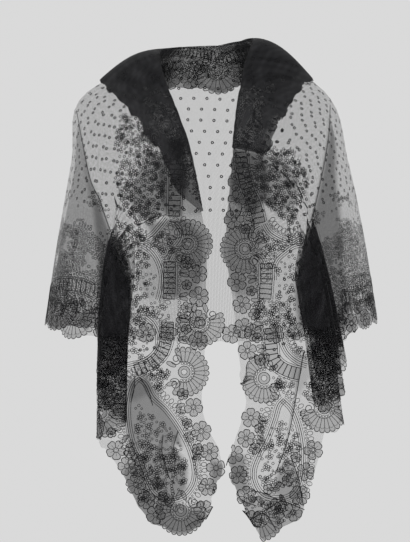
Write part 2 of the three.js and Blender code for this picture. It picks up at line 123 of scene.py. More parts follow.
def weights(count, place):
    """Rows of weights for a smooth curve through evenly spaced points, straight beyond its ends."""
    place = np.atleast_1d(np.asarray(place, float))
    i = np.clip(np.floor(place).astype(int), 0, count - 2)
    t = place - i
    w = [0.5 * (-t + 2 * t**2 - t**3), 0.5 * (2 - 5 * t**2 + 3 * t**3),
         0.5 * (t + 4 * t**2 - 3 * t**3), 0.5 * (t**3 - t**2)]
    out = (t < 0) | (t > 1)
    for k, straight in enumerate((0 * t, 1 - t, t, 0 * t)):
        w[k] = np.where(out, straight, w[k])
    m = np.zeros((len(place), count + 2))
    for k in range(4):
        m[np.arange(len(place)), i + k] += w[k]
    m[:, 1] += 2 * m[:, 0]
    m[:, 2] -= m[:, 0]
    m[:, -2] += 2 * m[:, -1]
    m[:, -3] -= m[:, -1]
    return m[:, 1:-1]


def base(rows, shares):
    return np.einsum("rk,kpc,sp->rsc", weights(LAST + 1, rows), POINTS, weights(5, np.asarray(shares) * 4))


def folded(along):
    """How far across, forward and outward the folded path of a side fall has got."""
    way = np.clip(along, 0, 0.999999) * FALL_LAYERS
    layer = np.floor(way)
    within = way - layer
    forth = layer % 2 == 0
    flat = within / (1 - BEND)
    turn = (within - 1 + BEND) / BEND * np.pi
    bending = turn > 0
    across = np.where(bending, np.where(forth, 1.0, 0.0), np.where(forth, flat, 1 - flat))
    forward = (layer + np.where(bending, 0.5 - 0.5 * np.cos(turn), 0)) / FALL_LAYERS
    out = np.where(bending, np.where(forth, 1.0, -1.0) * np.sin(turn), 0)
    return across, forward, out


def cloth(rows, shares):
    rows, shares = np.asarray(rows, float), np.asarray(shares, float)
    grid = base(rows, shares)
    for start, step, side in ((RIGHT_FRONT, -1, 1), (LEFT_FRONT, 1, -1)):
        along = (rows - start) * step
        inside = (along > 0) & (along < 1)
        if not inside.any():
            continue
        across, forward, out = (v[:, None] for v in folded(along[inside]))
        first, last = base([start], shares)[0], base([start + step], shares)[0]
        settled = ease(0.15, 0.45, shares)
        part = grid[inside]
        width = settled * FALL_WIDTH * ease(FALL_OPENS, FALL_FULL, part[..., 2] / DROP)
        step_y = np.abs(first[:, 1] - last[:, 1]) / FALL_LAYERS
        part[..., 0] += side * (width * across + np.minimum(width * 0.2, step_y / 2) * out)
        fold_y = first[:, 1] + (last[:, 1] - first[:, 1]) * forward
        part[..., 1] += (fold_y - part[..., 1]) * settled
        grid[inside] = part
    reach = np.minimum(rows - RIGHT_FRONT, LEFT_FRONT - rows)
    swell = FLUTE_DEPTH * np.outer(ease(0, 1.5, reach), shares**2)
    swell = swell * np.sin((rows - NAPE) / (LEFT_FRONT - NAPE) * FLUTES)[:, None]
    grid[..., :2] += unit(grid[..., :2]) * swell[..., None]
    return grid


LAPEL_AT = [NAMES.index(n) + (-past if n.startswith("right") else past) for n, past, _ in LAPELS]
LAPEL_WIDTHS = [share * WIDTH / 2 for _, _, share in LAPELS]


def lapel_width(rows):
    return np.interp(rows, LAPEL_AT, LAPEL_WIDTHS, left=0, right=0)


# One table of the whole cloth, from its free inner edge, round the lapel's fold, to its hem
LAYER_ROWS, PANEL_ROWS = 26, 20
ROWS = []
for row in range(LAST):
    count = FALL_LAYERS * LAYER_ROWS if row in (RIGHT_FRONT - 1, LEFT_FRONT) else PANEL_ROWS
    ROWS += [row + k / count for k in range(count)]
ROWS = np.array(ROWS + [LAST])
M = 200  # columns of the table, even in length along each rib


def cloth_table():
    shares = np.linspace(0, 1, 161)
    main = cloth(ROWS, shares)
    tilt = cloth(np.minimum(ROWS + 0.004, LAST), shares) - cloth(np.maximum(ROWS - 0.004, 0), shares)
    down = unit(np.gradient(main, axis=1))
    out = unit(np.cross(tilt, down))
    walked = np.array([walk(rib) for rib in main])
    table, sides, total, fold_at = [], [], [], []
    for i, row in enumerate(ROWS):
        points, side, width = main[i], out[i], float(lapel_width(row))
        edge = 0.0
        if width > 0.5:
            length = np.linspace(width, 0, 25)
            on = along_line(length, walked[i], main[i])
            n = unit(along_line(length, walked[i], out[i]))
            rise = LAPEL_RISE + (COLLAR_RISE - LAPEL_RISE) * ease(6.5, 3, abs(row - NAPE))
            lift = 2 * FOLD_RADIUS + rise * np.sin(np.pi * (length / width) ** 0.75)
            turn = np.linspace(np.pi, 0, 9)[1:-1, None]
            centre = main[i][0] + out[i][0] * FOLD_RADIUS
            arm = -out[i][0] * np.cos(turn) - down[i][0] * np.sin(turn)
            points = np.concatenate([on + n * lift[:, None], centre + arm * FOLD_RADIUS, points])
            side = np.concatenate([-n, -arm, side])
            edge = width + np.pi * FOLD_RADIUS
        length = walk(points)
        even = np.linspace(0, length[-1], M + 1)
        table.append(along_line(even, length, points))
        sides.append(unit(along_line(even, length, side)))
        total.append(length[-1])
        fold_at.append(edge)
    return np.array(table), np.array(sides), np.array(total), np.array(fold_at)


TABLE, SIDES, LENGTH, FOLD = cloth_table()
COUNT = len(ROWS)
EVERY = np.arange(COUNT, dtype=float)
STEP = LENGTH / M
PAST = 14  # rows that a motif may stand out past the first or last rib


def lookup(grid, i, m, bounded=False):
    i = np.clip(i, -PAST, COUNT - 1 + PAST)
    if bounded:
        m = np.clip(m, 0, M - 0.0001)
    a = np.clip(np.floor(i), 0, COUNT - 2).astype(int)
    b = np.clip(np.floor(m), 0, M - 1).astype(int)
    f, g = (i - a)[..., None], (m - b)[..., None]
    return ((grid[a, b] * (1 - g) + grid[a, b + 1] * g) * (1 - f)
            + (grid[a + 1, b] * (1 - g) + grid[a + 1, b + 1] * g) * f)


def slopes(i, m):
    """How the place moves per row and per column of the table."""
    along = (lookup(TABLE, i + 0.6, m) - lookup(TABLE, i - 0.6, m)) / 1.2
    down = (lookup(TABLE, i, m + 1) - lookup(TABLE, i, m - 1)) / 2
    return along, down


def solve(along, down, gap):
    a, b, c = (along * along).sum(-1), (along * down).sum(-1), (down * down).sum(-1)
    e, f = (gap * along).sum(-1), (gap * down).sum(-1)
    det = np.maximum(a * c - b * b, 1e-4 * a * c + 1e-9)
    return (c * e - b * f) / det, (a * f - b * e) / det


def in_fold(i):
    """Rows that are folded over themselves, or carry a turned-out flap."""
    row = np.interp(i, EVERY, ROWS)
    return (row > RIGHT_FRONT - 1.02) & (row < LEFT_FRONT + 1.02)


def settle(i, m, target):
    """The table places nearest to the targets, from a first guess."""
    for _ in range(3):
        along, down = slopes(i, m)
        di, dm = solve(along, down, target - lookup(TABLE, i, m))
        i = np.clip(i + np.clip(di, -6, 6), -PAST, COUNT - 1 + PAST)
        m = np.clip(m + np.clip(dm, -12, 12), -12, M + 12)
    return i, m


class Edge:
    """The inner edge or the hem, measured along its length, with a frame at each place."""

    def __init__(self, column):
        self.column = column
        self.points = TABLE[:, column]
        self.length = walk(self.points)
        self.total = self.length[-1]
        self.inward = 1 if column == 0 else -1

    def row(self, a):
        return np.interp(a, self.length, EVERY)

    def rib(self, a):
        """The drape's own rib number at a length along the edge."""
        return np.interp(self.row(a), EVERY, ROWS)

    def at(self, a):
        return along_line(a, self.length, self.points)

    def frame(self, a):
        i = self.row(a)
        m = np.full(np.shape(i), float(self.column))
        t = unit(self.at(a + 6) - self.at(a - 6))
        rib = unit(lookup(TABLE, i, m + 6 * self.inward, True) - lookup(TABLE, i, m, True))
        inward = unit(rib - t * (rib * t).sum(-1, keepdims=True))
        return i, m, t, inward

    def place(self, a, e):
        """Table places of points a along the edge and e in from it, reached down the ribs."""
        a, e = np.asarray(a, float), np.asarray(e, float)
        i, m, t, inward = self.frame(a)
        rib = unit(lookup(TABLE, i, m + 20 * self.inward, True) - lookup(TABLE, i, m, True))
        lean = (rib * t).sum(-1)
        upright = np.maximum(np.sqrt(1 - lean**2), 0.45)
        loose = ~in_fold(i)
        i = self.row(a - np.where(loose, e * lean / upright, 0))
        step = np.interp(i, EVERY, STEP)
        return i, m + self.inward * e / np.where(loose, upright, 1) / step


INNER, HEM = Edge(0), Edge(M)


# the way from the front chart onto the foremost cloth
FRONT_ROWS = np.flatnonzero((ROWS < NAPE - 2) | (ROWS > NAPE + 2))
FRONT_PICK = [(i, m) for i in FRONT_ROWS for m in range(0, M + 1, 2) if TABLE[i, m, 1] < -20]
FRONT_TREE = KDTree(len(FRONT_PICK))
for number, (i, m) in enumerate(FRONT_PICK):
    x, y, z = TABLE[i, m]
    FRONT_TREE.insert((x, 0.12 * y, z), number)
FRONT_TREE.balance()


def on_front(places):
    """Table places of (across, up) places of the front chart."""
    start = np.array([FRONT_PICK[FRONT_TREE.find((x, -20.0, z))[1]] for x, z in places], float)
    i, m = start[:, 0], start[:, 1]
    for _ in range(3):
        along, down = (v[:, [0, 2]] for v in slopes(i, m))
        gap = np.asarray(places) - lookup(TABLE, i, m)[:, [0, 2]]
        det = along[:, 0] * down[:, 1] - along[:, 1] * down[:, 0]
        det = np.where(np.abs(det) < 0.05, np.where(det < 0, -0.05, 0.05), det)
        di = (gap[:, 0] * down[:, 1] - gap[:, 1] * down[:, 0]) / det
        dm = (along[:, 0] * gap[:, 1] - along[:, 1] * gap[:, 0]) / det
        i = np.clip(i + np.clip(di, -3, 3), 0, COUNT - 1.0001)
        m = np.clip(m + np.clip(dm, -4, 4), -3, M + 3)
    return i, m
def pairs(*numbers):
    return list(zip(numbers[::2], numbers[1::2]))


# The chart of the lace as it lies in front: places are pairs of across and up, in millimetres
LADDERS = [
    pairs(-53, -110, -50, -131, -50, -160, -50, -192, -51, -234),
    pairs(-58, -307, -58, -336, -59, -366),
    pairs(-61, -403, -62, -424, -69, -448, -82, -464, -98, -474, -112, -480),
    pairs(56, -115, 56, -136, 59, -163, 67, -192, 78, -216, 85, -245),
    pairs(96, -310, 96, -336, 94, -366),
    pairs(101, -413, 104, -440, 107, -461, 118, -474, 134, -482, 150, -486),
]
# triple cords curling round the fans and the long ovals
ARCS = [
    pairs(-62, -238, -74, -253, -86, -266, -99, -272, -115, -266, -128, -253),
    pairs(-59, -242, -48, -246, -40, -256, -40, -270, -48, -282),
    pairs(-38, -288, -51, -291, -59, -304),
    pairs(-139, -288, -125, -280, -106, -277, -90, -285, -77, -301, -69, -323, -69, -346, -74, -368),
    pairs(-96, -392, -82, -405, -74, -426, -77, -448, -91, -464, -107, -470, -125, -474),
    pairs(-107, -490, -94, -501, -83, -522, -62, -542, -40, -573, -24, -605, -16, -637, -19, -662,
          -35, -682, -61, -688, -83, -678, -96, -656, -107, -624, -120, -592, -126, -557, -125, -525,
          -118, -501, -107, -490),
    pairs(94, -246, 102, -259, 117, -269, 133, -274, 150, -266),
    pairs(86, -250, 77, -256, 75, -269, 80, -282, 72, -290),
    pairs(70, -294, 82, -296, 91, -306, 94, -317),
    pairs(106, -336, 106, -317, 112, -302, 125, -290, 139, -280, 155, -277),
    pairs(118, -410, 122, -432, 131, -451, 146, -464, 162, -470),
    pairs(123, -525, 138, -541, 149, -568, 155, -600, 155, -632, 150, -662, 134, -682, 112, -686, 90, -680,
          77, -662, 74, -640, 83, -614, 96, -589, 107, -560, 114, -536, 123, -525),
]
# patches of small blossoms: how closely they are set, then their outline
CLOUDS = [
    (1, pairs(-138, -69, -106, -80, -64, -112, -64, -216, -80, -243, -106, -250, -125, -227, -149, -179,
          -136, -152, -144, -112)),
    (0.5, pairs(-150, -253, -114, -243, -90, -256, -106, -291, -138, -288, -150, -278)),
    (0.9, pairs(-78, -259, -58, -261, -53, -288, -74, -293, -86, -280)),
    (0.45, pairs(-128, -291, -93, -290, -77, -330, -86, -366, -112, -368, -131, -320)),
    (0.75, pairs(-125, -370, -64, -370, -58, -403, -90, -397, -125, -410)),
    (0.45, pairs(-134, -419, -96, -403, -83, -429, -96, -458, -131, -464)),
    (0.8, pairs(-96, -480, -74, -467, -58, -483, -67, -522, -86, -506)),
    (0.55, pairs(-112, -528, -90, -544, -48, -579, -29, -627, -32, -662, -74, -669, -93, -637, -115, -568)),
    (1, pairs(80, -118, 131, -125, 154, -152, 165, -179, 154, -216, 136, -245, 112, -230, 91, -214,
          77, -176)),
    (0.5, pairs(131, -243, 150, -243, 160, -272, 150, -288, 125, -282)),
    (0.9, pairs(91, -272, 110, -266, 128, -282, 110, -301, 93, -296)),
    (0.45, pairs(114, -310, 147, -288, 154, -307, 146, -344, 134, -368, 114, -365)),
    (0.75, pairs(80, -368, 141, -368, 144, -416, 112, -413, 80, -397)),
    (0.45, pairs(134, -419, 170, -419, 179, -458, 150, -458, 134, -440)),
    (0.8, pairs(110, -480, 134, -493, 144, -518, 118, -522, 106, -502)),
    (0.8, pairs(154, -498, 179, -493, 186, -522, 160, -531)),
    (0.4, pairs(-122, -630, -90, -605, -54, -603, -35, -640, -38, -680, -66, -696, -106, -688)),
    (0.5, pairs(54, -682, 90, -682, 150, -707, 122, -726, 83, -730, 64, -707)),
    (0.55, pairs(106, -568, 138, -560, 149, -600, 146, -662, 102, -672, 83, -648, 90, -616)),
]
# narrow tucks where the cloth lies double, drawn as dark strips and a dark line that also paint the shade of the
# creases: width, then the line
TUCKS_AND_CREASE_SHADE = [
    (8, pairs(-70, -586, -74, -608, -69, -630, -58, -653)),
    (4.8, pairs(-45, -576, -54, -602, -48, -627)),
    (6.4, pairs(-32, -730, -16, -723, 2, -715)),
    (2.4, pairs(-208, -67, -198, -120, -186, -176, -171, -208, -162, -234, -150, -269, -139, -310,
          -123, -341)),
    (2.4, pairs(200, -54, 197, -98, 190, -141, 181, -184, 171, -227, 160, -266, 154, -299)),
    (4.8, pairs(-115, -626, -106, -619, -93, -608)),
    (4.8, pairs(-114, -490, -117, -509, -120, -531)),
    (4.8, pairs(-106, -491, -94, -514, -85, -536)),
    (4, pairs(155, -451, 144, -509, 128, -592, 110, -646)),
    (4, pairs(134, -616, 146, -656, 155, -696)),
    (4, pairs(40, -677, 59, -690, 80, -696)),
    (4.8, pairs(72, -672, 90, -677, 110, -686, 134, -694, 157, -702)),
    (3.2, pairs(74, -717, 83, -712, 93, -710, 104, -723, 112, -736)),
]
# patches where the cloth lies double: how closely that covers, then the outline
DOUBLED = [
    (0.4, pairs(-250, -58, -208, -61, -198, -120, -186, -176, -171, -208, -162, -234, -150, -269,
          -139, -310, -123, -341, -117, -370, -126, -424, -282, -440)),
    (0.56, pairs(-205, -88, -186, -176, -171, -208, -162, -234, -150, -269, -139, -310, -123, -341,
          -117, -370, -126, -424, -174, -424, -174, -299, -181, -224, -192, -176)),
    (0.64, pairs(200, -48, 197, -98, 190, -141, 181, -184, 171, -227, 160, -266, 154, -299, 141, -339,
          141, -368, 147, -413, 222, -416, 234, -387, 227, -352, 222, -298, 216, -227, 210, -176,
          210, -96)),
    (0.3, pairs(-35, -128, -19, -152, 0, -230, -32, -234, -38, -192)),
    (0.68, pairs(-69, -109, -35, -112, -29, -184, -38, -234, -69, -234, -77, -176)),
    (0.52, pairs(-96, -246, -38, -234, -2, -264, -3, -307, -14, -363, -64, -365, -69, -307)),
    (0.58, pairs(-125, -496, -94, -490, -66, -536, -42, -576, -37, -603, -74, -592, -118, -621,
          -131, -560)),
    (0.35, pairs(-128, -490, -90, -480, -80, -512, -115, -531, -126, -525)),
    (0.58, pairs(-134, -642, -114, -621, -86, -597, -70, -587, -53, -597, -37, -618, -29, -638, -30, -669,
          -48, -688, 3, -714, -16, -741, -74, -741, -98, -723, -126, -683)),
    (0.6, pairs(-102, -154, -77, -131, -64, -152, -61, -216, -86, -246, -115, -230, -126, -195)),
    (0.48, pairs(83, -131, 125, -141, 150, -176, 146, -216, 115, -234, 90, -211)),
    (0.25, pairs(-106, -280, -69, -307, -64, -365, -90, -368, -112, -344)),
    (0.3, pairs(138, -440, 160, -451, 170, -488, 150, -520, 134, -504)),
    (0.5, pairs(8, -624, 32, -629, 29, -674, 6, -669)),
    (0.74, pairs(37, -125, 90, -128, 102, -168, 99, -208, 77, -230, 51, -218, 35, -208)),
    (0.4, pairs(29, -214, 90, -221, 107, -250, 102, -275, 90, -307, 80, -365, 48, -365, 32, -317)),
    (0.55, pairs(35, -613, 64, -616, 69, -674, 35, -677)),
    (0.48, pairs(128, -616, 146, -640, 157, -696, 126, -693, 104, -674, 114, -640)),
    (0.4, pairs(32, -674, 64, -685, 90, -677, 160, -701, 154, -725, 122, -736, 90, -755, 67, -736,
          59, -707)),
]


# Motifs, drawn flat in millimetres: strokes are (points, width), fillings are strips of quads
PETAL_STEPS, PETAL_DEPTH, PETAL_NOTCH = 10, 0.4, 0.07


def ring(radius, count, x=0.0, y=0.0):
    t = np.linspace(0, 2 * np.pi, count + 1)
    return np.stack([radius * np.cos(t), radius * np.sin(t)], 1) + (x, y)


def ray(angle, *reaches):
    """Points on a straight line out from the middle."""
    return np.array([[math.cos(angle) * r, math.sin(angle) * r] for r in reaches])


def rosette(radius, petals):
    """The outline of a flower, each petal with a small notch in its middle."""
    t = np.linspace(0, 2 * np.pi, petals * PETAL_STEPS + 1)
    off = 2 * ((t * petals / (2 * np.pi) + 0.5) % 1) - 1
    lobe = np.maximum(1 - np.abs(off) ** 2.2, 0) ** 0.6
    r = radius * (1 - PETAL_DEPTH + PETAL_DEPTH * lobe - PETAL_NOTCH * np.exp(-((off / 0.24) ** 2)))
    return np.stack([r * np.cos(t), r * np.sin(t)], 1)


def flower(radius, petals):
    """A petalled flower: outline, ring of the heart, lines between the petals, veins and tiny rings."""
    outer = rosette(radius, petals)
    heart = ring(radius * 0.26, petals * PETAL_STEPS)
    strokes = [(outer, 1.3), (ring(radius * 0.26, 12), 1.0)]
    for k in range(petals):
        between, middle = (k + 0.5) * 2 * np.pi / petals, k * 2 * np.pi / petals
        strokes.append((ray(between, radius * 0.26, radius * 0.44, radius * 0.6), 1.0))
        strokes.append((ray(middle, radius * 0.3, radius * 0.45, radius * 0.62), 0.5))
        strokes.append((ring(radius * 0.065, 6, *ray(middle, radius * 0.15)[0]), 0.6))
    return strokes, [(outer, heart)]


def leaf(length, width, turn):
    t = np.linspace(0, np.pi, 9)
    side = np.stack([length * (1 - np.cos(t)) / 2, width / 2 * np.sin(t) ** 0.8], 1)
    other = side * (1, -1)
    loop = np.concatenate([side, other[::-1][1:]])
    vein = np.array([[length * 0.08, 0], [length * 0.9, 0]])
    return turned(([(loop, 0.95), (vein, 0.5)], [(side, other)]), turn)


def curl(radius, turns, x, y, start, hand):
    """A coil of cord that winds inward."""
    t = np.linspace(0, 1, int(26 * turns))
    r = radius * (1 - 0.8 * t)
    a = start + hand * 2 * np.pi * turns * t
    return np.stack([x + r * np.cos(a), y + r * np.sin(a)], 1)


def arc(angle, reach):
    """Places round the hub of a fan, at angles from the middle of its rim."""
    return np.stack([np.sin(angle) * reach, -np.cos(angle) * reach], -1)


def shell(radius, rays=17, half=2.05):
    """A shell fan: rays from a hub of pearls to a scalloped rim. It opens towards -y, the free edge."""
    strokes, fills = [], []
    t = np.linspace(-half, half, rays * 6 + 1)
    place = (t + half) / (2 * half) * rays
    rim = radius * (0.9 + 0.1 * np.abs(np.sin(np.pi * place)) ** 0.6)
    outer, low, middle = (arc(t, reach) for reach in (rim, radius * 0.42, rim * 0.84))
    strokes += [(outer, 1.25), (low, 0.9), (middle, 0.5)]
    for k in range(rays + 1):
        a = -half + 2 * half * k / rays
        strokes.append((arc(np.full(4, a), radius * np.array([0.42, 0.56, 0.7, 0.9])), 0.85))
    fills.append((outer, low))
    pearls = 11
    for k in range(pearls):
        a = half * 0.9 * (2 * k / (pearls - 1) - 1)
        strokes.append((ring(radius * 0.05, 7, *arc(a, radius * 0.35)), 0.8))
        gap = np.linspace(a + 0.09, a + 0.9 * half * 2 / (pearls - 1) - 0.09, 3)
        if k < pearls - 1:
            fills.append((arc(gap, radius * 0.4), arc(gap, radius * 0.28)))
    hub = ring(radius * 0.24, 14)
    strokes += [(hub, 1.1), (ring(radius * 0.12, 9), 0.8)]
    fills.append((hub, ring(radius * 0.12, 14)))
    for hand in (-1, 1):
        coil = curl(radius * 0.24, 1.6, hand * radius * 0.5, radius * 0.34, np.pi / 2 + hand * 0.5, hand)
        strokes.append((coil, 1.15))
    return strokes, fills


def turned(motif, angle):
    c, s = math.cos(angle), math.sin(angle)
    spin = np.array([[c, s], [-s, c]])
    strokes, fills = motif
    return [(p @ spin, w) for p, w in strokes], [(a @ spin, b @ spin) for a, b in fills]


LONGEST_STEP = 12.0  # a longer step is one across a jump in the cloth, and is left out
RING_POINTS = 7


class Lace:
    """Gathers motifs laid on the cloth, then draws each kind as one mesh."""

    def __init__(self):
        self.strokes, self.fills = [], []

    def motif(self, motif, i, m, toward):
        """Lays a flat motif with its centre at table place i, m; toward is the 3-D direction of its +y."""
        strokes, fills = motif
        i, m = np.array([float(i)]), np.array([float(m)])
        centre = lookup(TABLE, i, m)[0]
        along, down = (v[0] for v in slopes(i, m))
        n = unit(np.cross(along, down))
        y = unit(toward - n * (toward @ n))
        x = unit(np.cross(y, n))
        near = in_fold(i)[0]

        def lay(p):
            gap = p[:, :1] * x + p[:, 1:] * y
            di, dm = solve(along[None], down[None], gap)
            pi, pm = np.clip(i + di, -PAST, COUNT - 1 + PAST), m + dm
            if not near:
                pi, pm = settle(pi, pm, centre + gap)
            return pi, pm

        for p, width in strokes:
            self.strokes.append((*lay(p), width))
        for a, b in fills:
            self.fills.append((lay(a), lay(b)))

    def on_edge(self, edge, a, e, motif, turn=0.0):
        i, m = edge.place(np.array([a]), np.array([e]))
        _, _, t, inward = edge.frame(np.array([a]))
        self.motif(turned(motif, turn) if turn else motif, i[0], m[0], inward[0])

    def front(self, places, width):
        self.strokes.append((*on_front(places), width))

    def rings(self, i, m, radius, width):
        """Small rings round many table places at once."""
        t = np.linspace(0, 2 * np.pi, RING_POINTS)
        along, down = slopes(i, m)
        n = unit(np.cross(along, down))
        x = unit(along - n * (along * n).sum(-1, keepdims=True))
        y = np.cross(n, x)
        gap = x[:, None] * np.cos(t)[None, :, None] + y[:, None] * np.sin(t)[None, :, None]
        gap *= radius[:, None, None]
        di, dm = solve(along[:, None], down[:, None], gap)
        self.strokes += [(a, b, width) for a, b in zip(i[:, None] + di, m[:, None] + dm)]

    def line(self, edge, a, e, width):
        i, m = edge.place(a, e)
        self.strokes.append((i, m, width))


def ribbon_mesh(name, strokes, lift, crowned=True):
    """Every stroke as a narrow ribbon lying on the net, all in one mesh."""
    lengths = np.array([len(s[0]) for s in strokes])
    i = np.concatenate([s[0] for s in strokes])
    m = np.concatenate([s[1] for s in strokes])
    width = np.repeat([s[2] for s in strokes], lengths)
    point = lookup(TABLE, i, m)
    side = unit(lookup(SIDES, i, m, True))
    start = np.concatenate([[0], np.cumsum(lengths)[:-1]])
    ends = start + lengths - 1
    before, after = np.arange(len(i)) - 1, np.arange(len(i)) + 1
    before[start], after[ends] = start, ends
    closed = np.linalg.norm(point[start] - point[ends], axis=1) < 0.02
    before[start[closed]], after[ends[closed]] = ends[closed] - 1, start[closed] + 1
    across = unit(np.cross(side, unit(point[after] - point[before]))) * (width / 2)[:, None]
    k = np.setdiff1d(np.arange(len(i)), ends)
    k = k[np.linalg.norm(point[k + 1] - point[k], axis=1) < LONGEST_STEP]
    point = point + side * lift
    rows = [point - across, point + across]
    if crowned:
        rows.insert(1, point + side * (width * 0.35)[:, None])
    n = len(rows)
    quads = [np.stack([n * k + r, n * k + r + 1, n * k + n + r + 1, n * k + n + r], 1) for r in range(n - 1)]
    uv = np.repeat(np.stack([i / COUNT, np.clip(m / M, 0, 1)], 1), n, axis=0)
    return make_mesh(name, np.stack(rows, 1).reshape(-1, 3), np.concatenate(quads), uv)


def strip_mesh(name, fills, lift):
    """Every filling as a strip of quads between its two lines, all in one mesh."""
    verts, quads, where, base_index = [], [], [], 0
    for (ai, am), (bi, bm) in fills:
        a = lookup(TABLE, ai, am) + lookup(SIDES, ai, am, True) * lift
        b = lookup(TABLE, bi, bm) + lookup(SIDES, bi, bm, True) * lift
        n = len(a)
        verts += [a, b]
        where += [np.stack([ai, am], 1), np.stack([bi, bm], 1)]
        k = np.arange(n - 1)
        near = np.linalg.norm(a[k + 1] - a[k], axis=1) < LONGEST_STEP
        near &= np.linalg.norm(a[k] - b[k], axis=1) < 3 * LONGEST_STEP
        k = k[near] + base_index
        quads.append(np.stack([k, k + 1, k + n + 1, k + n], 1))
        base_index += 2 * n
    where = np.concatenate(where)
    uv = np.stack([where[:, 0] / COUNT, np.clip(where[:, 1] / M, 0, 1)], 1)
    return make_mesh(name, np.concatenate(verts), np.concatenate(quads), uv)


def make_mesh(name, verts, quads, uv):
    mesh = bpy.data.meshes.new(name)
    mesh.vertices.add(len(verts))
    mesh.vertices.foreach_set("co", (np.asarray(verts) * 0.001).astype(np.float32).ravel())
    mesh.loops.add(quads.size)
    mesh.loops.foreach_set("vertex_index", quads.astype(np.int32).ravel())
    mesh.polygons.add(len(quads))
    mesh.polygons.foreach_set("loop_start", np.arange(0, quads.size, 4, dtype=np.int32))
    mesh.update(calc_edges=True)
    layer = mesh.uv_layers.new(name="OFBake")
    layer.data.foreach_set("uv", uv[quads.ravel()].astype(np.float32).ravel())
    mesh.validate()
    mesh.polygons.foreach_set("use_smooth", np.ones(len(mesh.polygons), bool))
    obj = bpy.data.objects.new(name, mesh)
    bpy.context.collection.objects.link(obj)
    return obj


# The layout of the lace
rng = np.random.default_rng(7)
FAN_EVERY, FAN_R, FAN_IN = 214.0, 40.0, 30.0
FLOWER_EVERY, FLOWER_R, FLOWER_IN = 30.5, 16.0, 11.5
SECOND_IN, CHAIN_IN, CHAIN_EVERY = 31.0, 42.5, 6.5
BLOSSOM_EVERY, DOT_EVERY, DOT_R = 5.6, 21.5, 2.0
FLORAL_TO, DOTS_FROM, CLOTH_TO = 215.0, 216.0, 620.0  # in from the hem
GIMP_LIFT, DOT_LIFT, FILL_LIFT = 0.35, 0.3, 0.2
BORDER_CORD, BLOSSOM_CORD, DOT_CORD = 0.9, 0.95, 1.7
LADDER_IN, LADDER_HALF, BAR_EVERY = 58.0, 9.5, 8.5
RAILS = [(-LADDER_HALF - 3, 0.8), (-LADDER_HALF, 1.1), (LADDER_HALF, 1.1), (LADDER_HALF + 3, 0.8)]
BACK_FROM, BACK_TO = NAMES.index("right_shoulder_back") + 0.5, NAMES.index("left_shoulder_back") - 0.5


def near_view(points, across, up):
    """Index of the point nearest to a place in the front view, in millimetres from the origin."""
    return int(np.argmin(np.hypot(points[:, 0] - across, points[:, 2] - up)))


def fans_along(edge, fixed):
    """Fan places: the fixed ones, and evenly spaced ones between and beyond them."""
    at = sorted(edge.length[near_view(edge.points, x, z)] for x, z in fixed)
    out = []
    for a, b in zip(at, at[1:]):
        count = max(1, round((b - a) / FAN_EVERY))
        out += [a + (b - a) * k / count for k in range(count)]
    out.append(at[-1])
    while out[0] - FAN_EVERY > 60:
        out.insert(0, out[0] - FAN_EVERY)
    while out[-1] + FAN_EVERY < edge.total - 60:
        out.append(out[-1] + FAN_EVERY)
    return np.array(out)


def even(line, step):
    """Points at even steps on a smooth curve through the chart's points."""
    line = np.asarray(line, float)
    curve = weights(len(line), np.linspace(0, len(line) - 1, 24 * len(line))) @ line
    walked = walk(curve)
    return along_line(np.linspace(0, walked[-1], max(2, round(walked[-1] / step) + 1)), walked, curve)


def beside(line, off):
    t = unit(np.gradient(line, axis=0))
    return line + np.stack([t[:, 1], -t[:, 0]], 1) * off


def inside(outline, x, z):
    """Even-odd test of places against a closed outline."""
    found = np.zeros(np.shape(x), bool)
    for (ax, az), (bx, bz) in zip(outline, outline[1:] + outline[:1]):
        crosses = (az > z) != (bz > z)
        found ^= crosses & (x < ax + (z - az) * (bx - ax) / (bz - az + 1e-9))
    return found


def depth_in(outline, x, z):
    """How far places lie inside a closed outline; negative outside it."""
    near = np.full(np.shape(x), 1e9)
    for (ax, az), (bx, bz) in zip(outline, outline[1:] + outline[:1]):
        run, rise = bx - ax, bz - az
        t = np.clip(((x - ax) * run + (z - az) * rise) / (run * run + rise * rise), 0, 1)
        near = np.minimum(near, np.hypot(x - ax - t * run, z - az - t * rise))
    return np.where(inside(outline, x, z), near, -near)


def blossoms(places, petals=5):
    """Chart places of the small rings of many blossoms: their hearts and petals."""
    turn = rng.uniform(0, 2 * np.pi, len(places))[:, None] + np.arange(petals) * 2 * np.pi / petals
    round_them = places[:, None] + 3.7 * np.stack([np.cos(turn), np.sin(turn)], -1)
    return np.concatenate([places, round_them.reshape(-1, 2)])


def scattered(spacing, low, high):
    """Table places spread evenly over the cloth, with their distance in from the hem."""
    found = []
    for level, e in enumerate(np.arange(low, high, spacing * 0.87)):
        m = M - e / STEP
        place = lookup(TABLE, EVERY, m)
        walked = walk(place)
        s = np.arange(spacing / 2 * (level % 2), walked[-1], spacing)
        i = np.interp(s, walked, EVERY)
        found.append(np.stack([i, np.interp(i, EVERY, m), np.full(len(s), e), s], 1))
    return np.concatenate(found).T


border, small, dots = Lace(), Lace(), Lace()
FANS = {
    INNER: fans_along(INNER, [(10, -272), (2, -486), (29, -288), (58, -505)]),
    HEM: fans_along(HEM, [(-174, -568), (-42, -735), (100, -742), (211, -573)]),
}
fan = shell(FAN_R)
big_flowers = [flower(FLOWER_R * size, petals) for size, petals in ((1.0, 5), (0.93, 6), (1.04, 6), (0.96, 5))]
small_flowers = [flower(size, 5) for size in (8.4, 9.6)]
CORNERS = [(RIGHT_FRONT - 0.85, RIGHT_FRONT - 0.5), (LEFT_FRONT + 0.3, LEFT_FRONT + 0.52)]


def free(edge, at):
    """False at the corners where the turned-out lapels end."""
    row = edge.rib(at)
    corner = [(row > low) & (row < high) for low, high in CORNERS]
    return ~np.any(corner, axis=0) if edge is INNER else np.ones(np.shape(row), bool)


def bulge(along, centre, radius, inner):
    """How far a round motif with its centre inside the edge stands out of it."""
    return np.sqrt(np.maximum(radius**2 - (along - centre) ** 2, 0)) - inner


